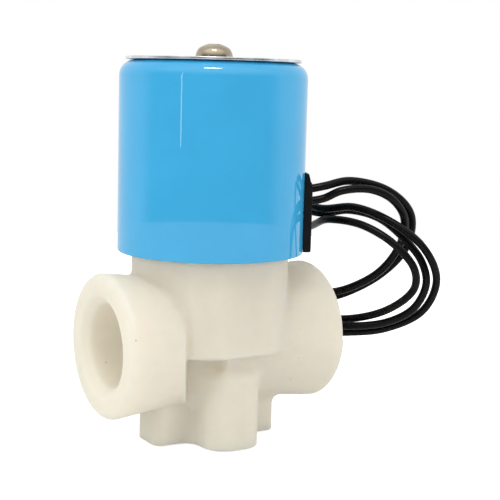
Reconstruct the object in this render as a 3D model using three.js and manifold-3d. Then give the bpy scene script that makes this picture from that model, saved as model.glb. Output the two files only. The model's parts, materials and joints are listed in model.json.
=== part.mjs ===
// Two-port solenoid valve: nylon body, steel-cased coil, sliding plunger and flying leads.
// Millimetres, +Z up. The port axis runs along X, the foot stands on z = 0 under the coil's axis.
import * as THREE from 'three';
import { mergeVertices } from 'three/addons/utils/BufferGeometryUtils.js';
import Module from 'manifold-3d';

const wasm = await Module();
wasm.setup();

// ---- Driving dimensions -------------------------------------------------------------------
const ROUND = 36; // sides of a full circle
const FINE_ROUND = 56; // of the cover and its plate
const FIT = 0.3; // gap between pieces that touch

const PORT_Z = 19.6; // height of the port axis
const PORT_REACH = 23.2; // port face, from the coil's axis
const PORT_INNER = 10.5; // inner end of a port boss
const PORT_RADIUS = 13.9; // at the mouth
const PORT_NECK_RADIUS = 12.4; // at its inner end, after the draft
const BORE_RADIUS = 8.0; // G 3/8 socket
const BORE_LEAD_IN = 9.6; // countersink at the mouth
const BORE_DEPTH = 11.0;
const CHANNEL_RADIUS = 2.5;
const INLET_Z = 23.6;
const OUTLET_Z = 17.4;

const HEX_FLAT = 14.9; // half the size across the wrench flats
const HEX_CORNER = 15.75; // turned radius over the corners
const HEX_BOTTOM = 18.2;
const HEX_TOP = 36.5;

const FOOT_HALF_LENGTH = 13.4;
const FOOT_HALF_WIDTH = 4.2;
const SCREW_BOSS_RADIUS = 5.7;
const SCREW_BOSS_Y = 7.4;
const SCREW_HOLE_Y = 8.0;
const SCREW_BOSS_TOP = 14.6;
const SCREW_HOLE_RADIUS = 1.7;
const SCREW_HOLE_DEPTH = 10;
const CORE_RADIUS = 9.5; // material under the valve chamber
const CORE_FOOT = 7.5;
const OUTLET_BACK = -2.5; // inner end of the outlet barrel
const INLET_TRIM = 4.0; // distance from the centre of the two planes that end the inlet barrel

const CHAMBER_RADIUS = 8.0;
const CHAMBER_FLOOR = 21.0;
const SEAT_RADIUS = 4.2;
const SEAT_TOP = 23.0;
const SHOULDER_Z = 25.2; // the O-ring lies here
const THREAD_RADIUS = 10.9;

const COVER_RADIUS = 18.0;
const COVER_BOTTOM = 36.6;
const COVER_TOP = 72.9;
const COVER_WALL = 0.9;
const COVER_SHOULDER = 3.0;
const PLATE_RADIUS = 16.8;
const PLATE_THICK = 0.55;
const SCREW_RADIUS = 2.0; // M4
const SCREW_CLEAR = 2.3;
const HEAD_RADIUS = 3.6;
const HEAD_HEIGHT = 2.7;
const SCREW_END = 63.0;
const RECESS_LENGTH = 3.8; // cross recess
const RECESS_WIDTH = 0.8;

const SEAL_RING_RADIUS = 9.4; // O-ring under the guide tube
const SEAL_RING_Z = 26.3;
const SEAL_RING_THICK = 1.7;
const WASHER_INNER = 7.0; // wave washer on the bobbin
const WASHER_OUTER = 11.5;
const SLEEVE_BOTTOM = 43.0; // insulated splices between winding and leads
const SLEEVE_TOP = 52.0;
const LEAD_STEPS_1 = 84;
const LEAD_STEPS_2 = 62;

const TUBE_OUTER = 6.1;
const TUBE_INNER = 5.6;
const TUBE_FLANGE = 10.4;
const TUBE_BOTTOM = 27.5;
const TUBE_TOP = 71.4;
const FLANGE_THICK = 1.3;

const PLUNGER_RADIUS = 5.5; // runs in the guide tube
const PLUNGER_BOTTOM = 24.0;
const PLUNGER_TOP = 53.7;
const STROKE = 2.0;
const CORE_BOTTOM = PLUNGER_TOP + STROKE + FIT;
const POCKET_RADIUS = 3.0; // spring pocket in the plunger's top
const POCKET_DEPTH = 10.0;
const SEAL_RADIUS = 3.2;
const SEAL_DEPTH = 2.2;

const BOBBIN_BOTTOM = 39.0;
const BOBBIN_TOP = 70.5;
const BOBBIN_BORE = 6.5;
const BOBBIN_TUBE = 7.6;
const BOBBIN_FLANGE = 15.4;
const BOBBIN_CHEEK = 1.4;
const WINDING_RADIUS = 14.2;
const TAPE_RADIUS = 14.9;

const LEAD_ANGLE = THREE.MathUtils.degToRad(-26); // side of the coil that the leads leave from
const LEAD_RADIUS = 0.8;
const LEAD_HEIGHTS = [49.0, 46.6]; // upper and lower lead hole
const STRAND_RADIUS = 0.5; // tinned conductor
const STRIPPED_LENGTH = 6;
const GROMMET_FACE = 19.1;
const NOTCH_HALF_WIDTH = 4.0;
const NOTCH_TOP = 50.8;

// ---- Materials ----------------------------------------------------------------------------
const look = (color, roughness, metalness = 0) =>
  new THREE.MeshStandardMaterial({ color, roughness, metalness });
const nylon = look(0xe9e3d3, 0.45);
const enamel = look(0x4aa3d2, 0.2);
const steel = look(0xb9bcbf, 0.35, 1);
const nickel = look(0xc9c6c0, 0.2, 1);
const stainless = look(0xaeb0b3, 0.3, 1);
const brass = look(0xc8a452, 0.3, 1);
const copper = look(0xb5652f, 0.3, 1);
const rubber = look(0x161616, 0.6);
const pvc = look(0x111214, 0.3);
const tinned = look(0xc4c6c8, 0.3, 1);
const bobbinPlastic = look(0x2b2b2d, 0.5);
const tapeFilm = look(0xd8b93a, 0.4);

// ---- Solids -------------------------------------------------------------------------------
function solid(geometry, matrix = new THREE.Matrix4()) {
  const bare = geometry.clone();
  bare.deleteAttribute('normal');
  bare.deleteAttribute('uv');
  bare.applyMatrix4(matrix);
  const merged = mergeVertices(bare, 1e-4);
  return new wasm.Manifold(new wasm.Mesh({
    numProp: 3,
    vertProperties: new Float32Array(merged.attributes.position.array),
    triVerts: new Uint32Array(merged.index.array),
  }));
}

function geometryOf(manifold) {
  const mesh = manifold.getMesh();
  const geometry = new THREE.BufferGeometry();
  geometry.setAttribute('position', new THREE.BufferAttribute(mesh.vertProperties, 3));
  geometry.setIndex(new THREE.BufferAttribute(mesh.triVerts, 1));
  geometry.computeVertexNormals();
  return geometry;
}

const shift = (x, y, z) => new THREE.Matrix4().makeTranslation(x, y, z);
const unite = (solids) => solids.reduce((sum, next) => sum.add(next));
const cutAll = (base, tools) => tools.reduce((rest, tool) => rest.subtract(tool), base);

// A closed profile of [radius, z] pairs turned about Z.
function turned(profile, sides = ROUND) {
  const points = profile.map(([r, z]) => new THREE.Vector2(r, z));
  return new THREE.LatheGeometry(points, sides).rotateX(Math.PI / 2);
}

// A ring of rectangular section about Z.
function ring(inner, outer, bottom, top, sides = ROUND) {
  return turned([[inner, bottom], [outer, bottom], [outer, top], [inner, top], [inner, bottom]], sides);
}

function rod(radius, bottom, top, sides = ROUND) {
  return turned([[0, bottom], [radius, bottom], [radius, top], [0, top]], sides);
}

// A rod along X, from x0 to x1, at height z.
function rodX(radius, x0, x1, z, sides = ROUND) {
  return rod(radius, x0, x1, sides).rotateY(Math.PI / 2).translate(0, 0, z);
}

function slab(sizeX, sizeY, sizeZ, x, y, z) {
  return new THREE.BoxGeometry(sizeX, sizeY, sizeZ).translate(x, y, z);
}

function prism(shape, bottom, top, curveSegments = 12) {
  return new THREE.ExtrudeGeometry(shape, { depth: top - bottom, bevelEnabled: false, curveSegments })
    .translate(0, 0, bottom);
}

// Points of a circular arc, for a profile.
function arc(centreR, centreZ, radius, fromDeg, toDeg, steps) {
  const points = [];
  for (let i = 0; i <= steps; i++) {
    const t = THREE.MathUtils.degToRad(fromDeg + ((toDeg - fromDeg) * i) / steps);
    points.push([centreR + radius * Math.cos(t), centreZ + radius * Math.sin(t)]);
  }
  return points;
}

// ---- Valve body ---------------------------------------------------------------------------
// A port boss on the +X side: rounded mouth, drafted barrel, inner end at innerX.
function portBoss(innerX) {
  const round = 1.6;
  const profile = [
    [0, innerX],
    [PORT_NECK_RADIUS, innerX],
    [PORT_NECK_RADIUS, PORT_INNER],
    ...arc(PORT_RADIUS - round, PORT_REACH - round, round, 0, 90, 3),
    [0, PORT_REACH],
  ];
  return turned(profile).rotateY(Math.PI / 2).translate(0, 0, PORT_Z);
}

// The inlet barrel ends in two upright planes, 30 degrees to either side of square.
function inletBoss(mirrorX) {
  const nearest = -INLET_TRIM / Math.cos(Math.PI / 6);
  const reach = 16;
  const far = nearest - reach * Math.tan(Math.PI / 6);
  const shape = new THREE.Shape();
  shape.moveTo(nearest, 0);
  shape.lineTo(far, -reach);
  shape.lineTo(reach, -reach);
  shape.lineTo(reach, reach);
  shape.lineTo(far, reach);
  const away = solid(prism(shape, PORT_Z - reach, PORT_Z + reach, 1));
  return cutAll(solid(portBoss(0), mirrorX), [away]);
}

function portBore() {
  const bottomX = PORT_REACH - BORE_DEPTH;
  const profile = [
    [0, bottomX],
    [BORE_RADIUS, bottomX],
    [BORE_RADIUS, PORT_REACH - (BORE_LEAD_IN - BORE_RADIUS)],
    [BORE_LEAD_IN + 1, PORT_REACH + 1],
    [0, PORT_REACH + 1],
  ];
  return turned(profile).rotateY(Math.PI / 2).translate(0, 0, PORT_Z);
}

// Hexagon with wrench flats on the +Y and -Y sides and turned corners.
function hexShape() {
  const halfFlat = Math.acos(HEX_FLAT / HEX_CORNER);
  const shape = new THREE.Shape();
  for (let side = 0; side < 6; side++) {
    const normal = Math.PI / 6 + (side * Math.PI) / 3;
    const next = normal + Math.PI / 3;
    const start = new THREE.Vector2(HEX_CORNER, 0).rotateAround(new THREE.Vector2(), normal - halfFlat);
    if (side === 0) shape.moveTo(start.x, start.y);
    const end = new THREE.Vector2(HEX_CORNER, 0).rotateAround(new THREE.Vector2(), normal + halfFlat);
    shape.lineTo(end.x, end.y);
    shape.absarc(0, 0, HEX_CORNER, normal + halfFlat, next - halfFlat, false);
  }
  return shape;
}

function footShape() {
  const round = 1.2;
  const x = FOOT_HALF_LENGTH;
  const y = FOOT_HALF_WIDTH;
  const shape = new THREE.Shape();
  shape.moveTo(-x + round, -y);
  shape.lineTo(x - round, -y);
  shape.absarc(x - round, -y + round, round, -Math.PI / 2, 0, false);
  shape.absarc(x - round, y - round, round, 0, Math.PI / 2, false);
  shape.absarc(-x + round, y - round, round, Math.PI / 2, Math.PI, false);
  shape.absarc(-x + round, -y + round, round, Math.PI, 1.5 * Math.PI, false);
  return shape;
}

function valveBody() {
  const mirrorX = new THREE.Matrix4().makeRotationZ(Math.PI);
  const parts = [
    solid(portBoss(OUTLET_BACK)),
    inletBoss(mirrorX),
    solid(prism(hexShape(), HEX_BOTTOM, HEX_TOP, 4)),
    solid(prism(footShape(), 0, HEX_BOTTOM + 0.3, 3)),
    solid(rod(CORE_RADIUS, CORE_FOOT, HEX_BOTTOM + 0.3)),
  ];
  for (const side of [-1, 1]) {
    parts.push(solid(rod(SCREW_BOSS_RADIUS, 0, SCREW_BOSS_TOP), shift(0, side * SCREW_BOSS_Y, 0)));
    const web = slab(2 * SCREW_BOSS_RADIUS, SCREW_BOSS_Y, SCREW_BOSS_TOP, 0, 0, SCREW_BOSS_TOP / 2);
    parts.push(solid(web, shift(0, (side * SCREW_BOSS_Y) / 2, 0)));
  }
  const cuts = [
    solid(portBore()),
    solid(portBore(), mirrorX),
    solid(rod(THREAD_RADIUS, SHOULDER_Z, HEX_TOP + 1)),
    solid(rod(CHAMBER_RADIUS, SEAT_TOP, SHOULDER_Z + 1)),
    solid(ring(SEAT_RADIUS, CHAMBER_RADIUS, CHAMBER_FLOOR, SEAT_TOP + 1)),
    solid(rod(CHANNEL_RADIUS, OUTLET_Z, SEAT_TOP + 1, 24)),
    solid(rodX(CHANNEL_RADIUS, -0.5, PORT_REACH - BORE_DEPTH + 0.5, OUTLET_Z, 24)),
    solid(rodX(CHANNEL_RADIUS, -PORT_REACH + BORE_DEPTH - 0.5, -6, INLET_Z, 24)),
  ];
  for (const side of [-1, 1]) {
    const hole = rod(SCREW_HOLE_RADIUS, -1, SCREW_HOLE_DEPTH, 16);
    cuts.push(solid(hole, shift(0, side * SCREW_HOLE_Y, 0)));
  }
  return geometryOf(cutAll(unite(parts), cuts));
}

// Moulded screen pressed into the bottom of the inlet socket.
function inletStrainer() {
  const radius = BORE_RADIUS - FIT;
  const pitch = 1.7;
  const hole = 1.05;
  const thick = 0.8;
  const x = -PORT_REACH + BORE_DEPTH - thick / 2 - FIT;
  let screen = solid(rodX(radius, x - thick / 2, x + thick / 2, PORT_Z));
  const reach = 3;
  for (let i = -reach; i <= reach; i++) {
    for (let j = -reach; j <= reach; j++) {
      if (Math.hypot(i, j) * pitch > radius - 1.9) continue;
      screen = screen.subtract(solid(slab(2, hole, hole, x, i * pitch, PORT_Z + j * pitch)));
    }
  }
  return geometryOf(screen);
}

// ---- Guide tube group ---------------------------------------------------------------------
function guideTube() {
  const flangeTop = TUBE_BOTTOM + FLANGE_THICK;
  return turned([
    [TUBE_INNER, TUBE_BOTTOM],
    [TUBE_FLANGE, TUBE_BOTTOM],
    [TUBE_FLANGE, flangeTop],
    [TUBE_OUTER, flangeTop],
    [TUBE_OUTER, TUBE_TOP],
    [TUBE_INNER, TUBE_TOP],
    [TUBE_INNER, TUBE_BOTTOM],
  ]);
}

function retainingNut() {
  const bottom = TUBE_BOTTOM + FLANGE_THICK + FIT;
  const top = HEX_TOP - 0.3;
  const slotWide = 2.4;
  const slotDeep = 1.6;
  const nut = solid(ring(TUBE_OUTER + FIT, THREAD_RADIUS - FIT, bottom, top));
  const slot = solid(slab(40, slotWide, 2 * slotDeep, 0, 0, top));
  return geometryOf(nut.subtract(slot));
}

function fixedCore() {
  const radius = TUBE_INNER - 0.15;
  const grooveInner = 3.35;
  const grooveOuter = 4.65;
  const core = solid(rod(radius, CORE_BOTTOM, TUBE_TOP + 0.3));
  const threadHole = solid(rod(SCREW_CLEAR, 61.5, TUBE_TOP + 1, 24));
  const groove = solid(ring(grooveInner, grooveOuter, CORE_BOTTOM - 1, CORE_BOTTOM + 1.7));
  return geometryOf(cutAll(core, [threadHole, groove]));
}

function plunger() {
  const grooveRadius = 0.9;
  const cuts = [
    solid(rod(POCKET_RADIUS, PLUNGER_TOP - POCKET_DEPTH, PLUNGER_TOP + 1)),
    solid(rod(SEAL_RADIUS + 0.2, PLUNGER_BOTTOM - 1, PLUNGER_BOTTOM + SEAL_DEPTH)),
  ];
  for (const side of [-1, 1]) {
    const groove = rod(grooveRadius, PLUNGER_BOTTOM - 1, PLUNGER_TOP + 1, 12);
    cuts.push(solid(groove, shift(0, side * PLUNGER_RADIUS, 0)));
  }
  return geometryOf(cutAll(solid(rod(PLUNGER_RADIUS, PLUNGER_BOTTOM, PLUNGER_TOP)), cuts));
}

// Compression spring between the plunger's pocket and the fixed core.
function plungerSpring() {
  const bottom = PLUNGER_TOP - POCKET_DEPTH + FIT;
  const top = CORE_BOTTOM - FIT;
  const wire = 0.35;
  const meanRadius = 2.3;
  const turns = 7;
  const points = [];
  const stepsPerTurn = 12;
  for (let i = 0; i <= turns * stepsPerTurn; i++) {
    const t = i / (turns * stepsPerTurn);
    const angle = t * turns * 2 * Math.PI;
    const z = bottom + wire + t * (top - bottom - 2 * wire);
    points.push(new THREE.Vector3(meanRadius * Math.cos(angle), meanRadius * Math.sin(angle), z));
  }
  const section = new THREE.Shape();
  section.absarc(0, 0, wire, 0, 2 * Math.PI, false);
  return new THREE.ExtrudeGeometry(section, {
    steps: turns * stepsPerTurn,
    extrudePath: new THREE.CatmullRomCurve3(points),
    curveSegments: 3,
    bevelEnabled: false,
  });
}

// ---- Coil ---------------------------------------------------------------------------------
function bobbin() {
  const lowCheek = BOBBIN_BOTTOM + BOBBIN_CHEEK;
  const highCheek = BOBBIN_TOP - BOBBIN_CHEEK;
  return turned([
    [BOBBIN_BORE, BOBBIN_BOTTOM],
    [BOBBIN_FLANGE, BOBBIN_BOTTOM],
    [BOBBIN_FLANGE, lowCheek],
    [BOBBIN_TUBE, lowCheek],
    [BOBBIN_TUBE, highCheek],
    [BOBBIN_FLANGE, highCheek],
    [BOBBIN_FLANGE, BOBBIN_TOP],
    [BOBBIN_BORE, BOBBIN_TOP],
    [BOBBIN_BORE, BOBBIN_BOTTOM],
  ]);
}

// The notch that lets the lead grommet through the cover's wall.
function leadNotch(halfWidth, bottom, top, innerR, outerR) {
  const block = slab(outerR - innerR, 2 * halfWidth, top - bottom, (innerR + outerR) / 2, 0, (top + bottom) / 2);
  return solid(block, new THREE.Matrix4().makeRotationZ(LEAD_ANGLE));
}

function coilCover() {
  const innerRadius = COVER_RADIUS - COVER_WALL;
  const shoulderZ = COVER_TOP - COVER_SHOULDER;
  const shoulderR = COVER_RADIUS - COVER_SHOULDER;
  const cup = turned([
    [COVER_RADIUS, COVER_BOTTOM],
    ...arc(shoulderR, shoulderZ, COVER_SHOULDER, 0, 90, 4),
    [SCREW_CLEAR, COVER_TOP],
    [SCREW_CLEAR, COVER_TOP - COVER_WALL],
    ...arc(shoulderR, shoulderZ, COVER_SHOULDER - COVER_WALL, 90, 0, 3),
    [innerRadius, COVER_BOTTOM],
    [COVER_RADIUS, COVER_BOTTOM],
  ], FINE_ROUND);
  const notch = leadNotch(NOTCH_HALF_WIDTH, COVER_BOTTOM - 1, NOTCH_TOP, 12, 22);
  return geometryOf(solid(cup).subtract(notch));
}

// Black insert in the notch: a neck inside the wall and a wedge-topped pad outside it.
function leadGrommet() {
  const padInner = COVER_RADIUS + FIT;
  const padHalf = 4.6;
  const padBottom = 37.0;
  const padTop = 52.2;
  const wedge = 3.0;
  const profile = new THREE.Shape();
  profile.moveTo(padInner, padBottom);
  profile.lineTo(GROMMET_FACE, padBottom);
  profile.lineTo(GROMMET_FACE, padTop - wedge);
  profile.lineTo(padInner, padTop);
  profile.closePath();
  const pad = new THREE.ExtrudeGeometry(profile, { depth: 2 * padHalf, bevelEnabled: false })
    .rotateX(Math.PI / 2).translate(0, padHalf, 0);
  const turn = new THREE.Matrix4().makeRotationZ(LEAD_ANGLE);
  const neck = leadNotch(NOTCH_HALF_WIDTH - FIT, BOBBIN_BOTTOM + 0.2, NOTCH_TOP - FIT, 16.3, padInner + 0.2);
  let grommet = solid(pad, turn).add(neck);
  for (const z of LEAD_HEIGHTS) {
    grommet = grommet.subtract(solid(rodX(LEAD_RADIUS + 0.15, 14, 22, z, 12), turn));
  }
  return geometryOf(grommet);
}

// Insulated joint of a lead and the winding's end, upright beside the winding.
function spliceSleeve(side) {
  const radius = 0.95;
  const angle = LEAD_ANGLE + side * THREE.MathUtils.degToRad(24);
  const r = 16.0;
  return rod(radius, SLEEVE_BOTTOM, SLEEVE_TOP, 12).translate(r * Math.cos(angle), r * Math.sin(angle), 0);
}

// Three-wave spring washer between the bobbin and the cover's roof.
function waveWasher() {
  const geometry = ring(WASHER_INNER, WASHER_OUTER, BOBBIN_TOP + 0.5, BOBBIN_TOP + 0.9, 36);
  const wave = 0.25;
  const position = geometry.attributes.position;
  for (let i = 0; i < position.count; i++) {
    const angle = Math.atan2(position.getY(i), position.getX(i));
    position.setZ(i, position.getZ(i) + wave * Math.sin(3 * angle));
  }
  return geometry;
}

function coverScrew() {
  const seat = COVER_TOP + 0.05 + PLATE_THICK + 0.05;
  const domeRise = HEAD_HEIGHT - 1.0;
  const steps = 6;
  const dome = [];
  for (let i = 0; i <= steps; i++) {
    const t = ((Math.PI / 2) * i) / steps;
    dome.push([HEAD_RADIUS * Math.cos(t), seat + 1.0 + domeRise * Math.sin(t)]);
  }
  dome[steps][0] = 0;
  const screw = solid(turned([[0, SCREW_END], [SCREW_RADIUS, SCREW_END], [SCREW_RADIUS, seat], [HEAD_RADIUS, seat], ...dome], 32));
  const recessDeep = 1.5;
  const recess = [0, Math.PI / 2].map((turn) =>
    solid(slab(RECESS_LENGTH, RECESS_WIDTH, 2 * recessDeep, 0, 0, seat + HEAD_HEIGHT), new THREE.Matrix4().makeRotationZ(turn)));
  return geometryOf(cutAll(screw, recess));
}

// ---- Leads --------------------------------------------------------------------------------
// Each lead leaves the grommet, loops out beside the valve and back behind it, and ends bare on
// the surface the valve stands on. [x, y, z] along the middle of the wire.
const LEAD_ROUTE_1 = [
  [17.4, -8.5, 49], [19.8, -9.6, 49.5], [25.1, -10.7, 50.5], [33.3, -12.7, 48.5], [39.3, -12.6, 43.5],
  [40.8, -9.6, 36.3], [37.4, -5.4, 30.1], [30.9, 0.9, 25.2], [30, 9.2, 24.4], [24.6, 18.6, 27.4],
  [14.5, 23.6, 34.4], [10.4, 23, 41], [13.4, 20.8, 46.8], [23.2, 11.6, 46.8], [25.2, -0.7, 44.1],
  [29.2, -7.2, 44.8], [33.8, -13.8, 42.2], [38.4, -18.2, 37.4], [42.6, -17.5, 30.5],
  [42.1, -13.9, 23.6], [37.2, -8.1, 19.4], [31.2, -2, 18], [30.2, 7.8, 16.4], [24.4, 19.6, 18.8],
  [12, 26.4, 27.6], [5.8, 26.5, 34.6], [8.6, 26.2, 41], [20.2, 23.4, 42.4], [27.8, 10, 39],
  [25.4, -4.1, 42.2], [28.7, -10.4, 41.6], [32.5, -15.7, 38.4], [36.3, -17.9, 33.5],
  [37.5, -16.8, 29.2], [35.6, -11.1, 24.1], [31.4, -1.2, 20.7], [29.6, 17.2, 20.6], [20.6, 27.8, 11],
  [9.4, 26.6, 1.4], [2.5, 24.2, 0.9],
];
const LEAD_ROUTE_2 = [
  [17.4, -8.5, 46.6], [19.8, -9.6, 47.1], [22.5, -11.7, 48.7], [28, -13.5, 49], [33, -14.2, 47],
  [37, -13.3, 43], [38.3, -10.7, 37.2], [35.7, -6.9, 30.9], [29.6, -0.6, 26.5], [28.2, 7.6, 26.8],
  [24, 15.4, 29.4], [17, 20.6, 33.4], [12.5, 21.6, 37.2], [12.6, 20.7, 41.6], [16.8, 18, 44.4],
  [22.8, 11.6, 44.6], [26.5, 1.1, 42.9], [30.1, -4.4, 43.9], [33.6, -9.9, 42.6], [36.8, -14.2, 38.7],
  [39.4, -16.5, 34.4], [40.2, -17.2, 30], [39.1, -14.9, 24.7], [35.8, -10.1, 21.2], [29.9, -3.6, 19.8],
  [28.2, 6, 19.4], [26.4, 15.6, 21.2], [20.8, 24.4, 27], [17, 29.2, 36.4], [12.4, 29.9, 44],
  [8, 29.4, 47.8], [3.4, 28.6, 47.2], [0, 27.6, 42.4], [-0.8, 26.2, 31], [-0.8, 24.4, 16],
  [-0.2, 22.8, 6.8], [3.4, 21.2, 1.6], [9, 20.4, 0.9],
];

const leadPath = (route) => new THREE.CatmullRomCurve3(route.map((point) => new THREE.Vector3(...point)));

function alongPath(path, radius, steps) {
  const section = new THREE.Shape();
  section.absarc(0, 0, radius, 0, 2 * Math.PI, false);
  return new THREE.ExtrudeGeometry(section, {
    steps, extrudePath: path, curveSegments: 4, bevelEnabled: false,
  });
}

function leadWire(route, steps) {
  return alongPath(leadPath(route), LEAD_RADIUS, steps);
}

// The stripped conductor beyond the end of a lead's insulation.
function leadEnd(route) {
  const path = leadPath(route);
  const along = path.getTangentAt(1);
  along.z = 0;
  along.normalize();
  const start = path.getPointAt(1).addScaledVector(along, FIT);
  const end = start.clone().addScaledVector(along, STRIPPED_LENGTH);
  return alongPath(new THREE.LineCurve3(start, end), STRAND_RADIUS, 1);
}

// ---- Assembly -----------------------------------------------------------------------------
const valve = new THREE.Group();
function place(name, geometry, material, parent = valve) {
  const mesh = new THREE.Mesh(geometry, material);
  mesh.name = name;
  parent.add(mesh);
  return mesh;
}

place('valve_body', valveBody(), nylon);
place('inlet_strainer', inletStrainer(), nylon);
place('tube_o_ring', turned(arc(SEAL_RING_RADIUS, SEAL_RING_Z, SEAL_RING_THICK / 2, 0, 360, 8), 32), rubber);
place('guide_tube', guideTube(), stainless);
place('retaining_nut', retainingNut(), brass);
place('fixed_core', fixedCore(), stainless);
place('shading_ring', ring(3.5, 4.5, CORE_BOTTOM + 0.05, CORE_BOTTOM + 1.4, 36), copper);
place('plunger', plunger(), stainless);
place('plunger_spring', plungerSpring(), stainless);
place('plunger_seal', rod(SEAL_RADIUS, SEAT_TOP + 0.25, PLUNGER_BOTTOM + SEAL_DEPTH - FIT, 36), rubber);

place('flux_plate', ring(BOBBIN_BORE, COVER_RADIUS - COVER_WALL - FIT, HEX_TOP + FIT, BOBBIN_BOTTOM - FIT), steel);
place('bobbin', bobbin(), bobbinPlastic);
place('coil_winding', ring(BOBBIN_TUBE + 0.2, WINDING_RADIUS, BOBBIN_BOTTOM + BOBBIN_CHEEK + FIT,
  BOBBIN_TOP - BOBBIN_CHEEK - FIT), copper);
place('coil_tape', ring(WINDING_RADIUS + 0.2, TAPE_RADIUS, BOBBIN_BOTTOM + BOBBIN_CHEEK + FIT,
  BOBBIN_TOP - BOBBIN_CHEEK - FIT), tapeFilm);
place('wave_washer', waveWasher(), steel);
place('coil_cover', coilCover(), enamel);
place('top_plate', ring(SCREW_CLEAR, PLATE_RADIUS, COVER_TOP + 0.05, COVER_TOP + 0.05 + PLATE_THICK,
  FINE_ROUND), steel);
place('cover_screw', coverScrew(), nickel);
place('lead_grommet', leadGrommet(), rubber);
place('splice_sleeve_1', spliceSleeve(-1), rubber);
place('splice_sleeve_2', spliceSleeve(1), rubber);
place('lead_wire_1', leadWire(LEAD_ROUTE_1, LEAD_STEPS_1), pvc);
place('lead_wire_2', leadWire(LEAD_ROUTE_2, LEAD_STEPS_2), pvc);
place('lead_end_1', leadEnd(LEAD_ROUTE_1), tinned);
place('lead_end_2', leadEnd(LEAD_ROUTE_2), tinned);

export default valve;
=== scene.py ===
"""Two-port solenoid valve: nylon body, enamelled coil cover, screw, plate, grommet and black leads.

Lengths are in millimetres, and MM turns them into the frame's metres. The floor, the lights, the
camera's clipping distances and the subsurface scale are in metres.
"""
import json
import math

import bmesh
import bpy
import numpy as np
from mathutils import Matrix, Vector

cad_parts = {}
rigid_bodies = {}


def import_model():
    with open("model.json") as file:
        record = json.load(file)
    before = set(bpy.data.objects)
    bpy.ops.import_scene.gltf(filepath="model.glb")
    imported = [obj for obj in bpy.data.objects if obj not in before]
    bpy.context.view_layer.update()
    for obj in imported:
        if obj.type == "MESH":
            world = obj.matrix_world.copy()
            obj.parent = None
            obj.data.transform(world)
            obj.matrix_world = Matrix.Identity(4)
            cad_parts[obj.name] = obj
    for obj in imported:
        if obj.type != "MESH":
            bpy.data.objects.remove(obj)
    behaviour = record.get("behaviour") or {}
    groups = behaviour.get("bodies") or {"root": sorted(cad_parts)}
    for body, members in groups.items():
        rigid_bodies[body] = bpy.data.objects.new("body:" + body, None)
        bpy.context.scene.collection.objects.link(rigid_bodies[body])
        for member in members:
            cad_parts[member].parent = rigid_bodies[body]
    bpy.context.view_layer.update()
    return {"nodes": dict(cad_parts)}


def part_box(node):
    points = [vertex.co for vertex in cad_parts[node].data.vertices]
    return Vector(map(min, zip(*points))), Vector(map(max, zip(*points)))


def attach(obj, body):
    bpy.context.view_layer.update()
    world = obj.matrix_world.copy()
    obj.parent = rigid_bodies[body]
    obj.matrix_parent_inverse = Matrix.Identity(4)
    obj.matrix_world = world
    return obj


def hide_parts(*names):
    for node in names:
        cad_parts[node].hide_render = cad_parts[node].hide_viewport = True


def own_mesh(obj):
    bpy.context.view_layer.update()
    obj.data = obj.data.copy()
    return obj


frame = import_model()
MM = 0.001


def corners(node):
    """The lowest and highest corner of a CAD node, in millimetres."""
    low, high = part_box(node)
    return np.array(low) / MM, np.array(high) / MM


# ---- Sizes ------------------------------------------------------------------------------------
# Most sizes and places repeat the CAD part's. Some differ a little from it, such as the roundings,
# BOSS_TOP, HEAD_HEIGHT and the recess.
body_low, body_high = corners("valve_body")
cover_low, cover_high = corners("coil_cover")
plate_low, plate_high = corners("top_plate")
flux_low, flux_high = corners("flux_plate")
strainer_low, strainer_high = corners("inlet_strainer")

# Roundings of small edges, from the sharpest to the softest
KEEN_EDGE = 0.05
FINE_EDGE = 0.1
LIGHT_EDGE = 0.15
EASED_EDGE = 0.2
SOFT_EDGE = 0.3

# Ports: the inlet is the one on the -X side
PORT_REACH = body_high[0]
PORT_Z = 19.6
PORT_RADIUS = 13.9
PORT_NECK_RADIUS = 12.4
PORT_INNER = 10.5
OUTLET_BACK = -2.5
INLET_TRIM = 4.0
MOUTH_ROUND = 1.5
BARREL_BACK_ROUND = 0.35
BORE_RADIUS = 8.0
BORE_LEAD_IN = 9.6
LEAD_IN_DEPTH = 2.2
BORE_DEPTH = 11.0

# Wrench hexagon
HEX_TOP = body_high[2]
HEX_BOTTOM = 18.2
HEX_FLAT = 14.9
HEX_CORNER = 15.75
HEX_TURN = math.pi / 6
HEX_CORNER_ROUND = 0.12
HEX_END_ROUND = 0.8

# Foot bar, screw bosses and the core under the valve chamber
FOOT_HALF_LENGTH = 13.4
FOOT_HALF_WIDTH = 4.2
FOOT_CORNER = 1.8
FOOT_OVERLAP = 0.5
BASE_ROUND = 0.25
BOSS_HALF_WIDTH = 5.7
BOSS_REACH = 13.1
BOSS_TOP = 15.0
BOSS_CORNER = 4.6
BOSS_ROUND = 1.6
CORE_RADIUS = 9.5
CORE_BOTTOM = 7.5
CORE_ROUND = 3.5
CORE_OVERLAP = 1
SCREW_HOLE_RADIUS = 1.7
SCREW_HOLE_DEPTH = 10.0
SCREW_HOLE_Y = 8.0

# Widths of the blends and radii of the fillets between them
BOSS_BLEND = 3.6
CORE_BLEND = 2.0
OUTLET_BLEND = 2.2
OUTLET_FILLET = 0.5
INLET_FILLET = 0.4
HEX_FILLET = 1.0

# Passages inside the body
CHANNEL_RADIUS = 2.5
CHANNEL_OVERLAP = 0.5
INLET_Z = 23.6
INLET_INNER_END = 6
OUTLET_Z = 17.4
CHAMBER_RADIUS = 8.0
CHAMBER_FLOOR = 21.0
SEAT_RADIUS = 4.2
SEAT_TOP = 23.0
SHOULDER_Z = 25.2
THREAD_RADIUS = 10.9

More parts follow.
